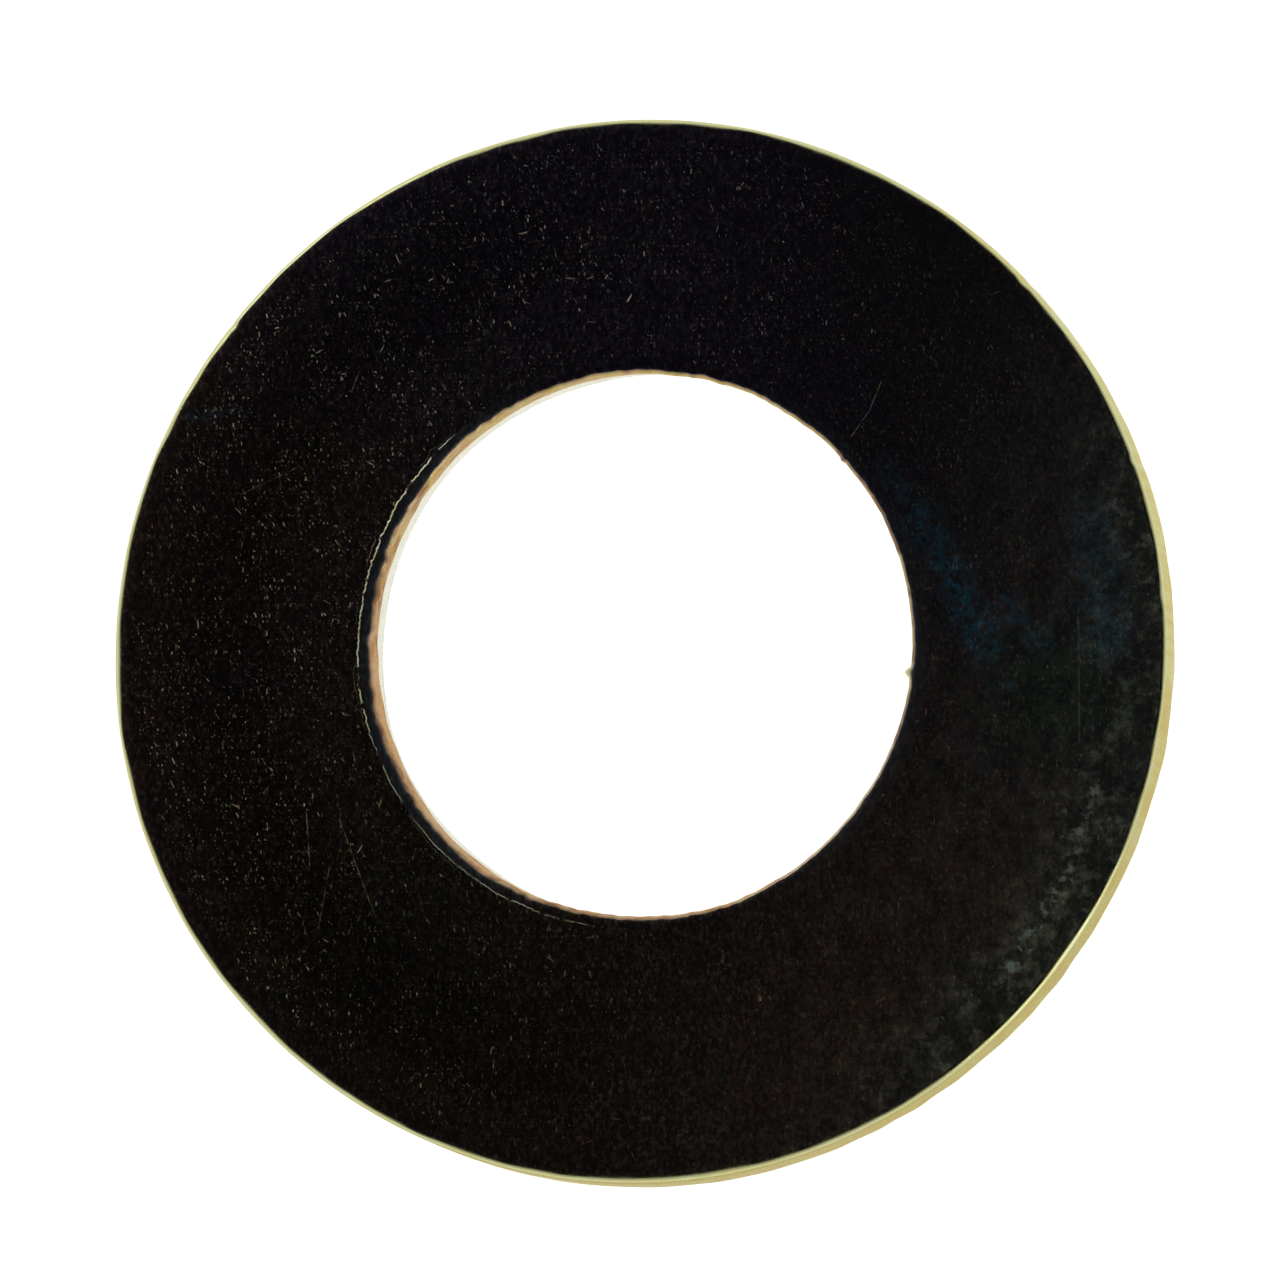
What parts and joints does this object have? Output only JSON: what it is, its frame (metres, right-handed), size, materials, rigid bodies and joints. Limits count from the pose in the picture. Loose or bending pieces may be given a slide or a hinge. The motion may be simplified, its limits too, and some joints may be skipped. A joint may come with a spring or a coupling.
{
  "type": "flat washer",
  "caption": "Plain flat round washer with a round clearance hole, rolled top edges and an iridescent yellow plated finish.",
  "frame": {"origin": "on the hole's axis, at the bottom face that the washer lies on", "axes": "+Z along the hole's axis, from the flat bottom face to the top face with the rolled edges; X and Y are free, because the part is round"},
  "size_m": [0.0234, 0.0234, 0.0017],
  "materials": {
    "yellow_zinc": "zinc plated steel with an iridescent yellow chromate, fine tumbling scratches"
  },
  "bodies": {
    "root": {"flat_washer": "yellow_zinc"}
  },
  "joints": []
}
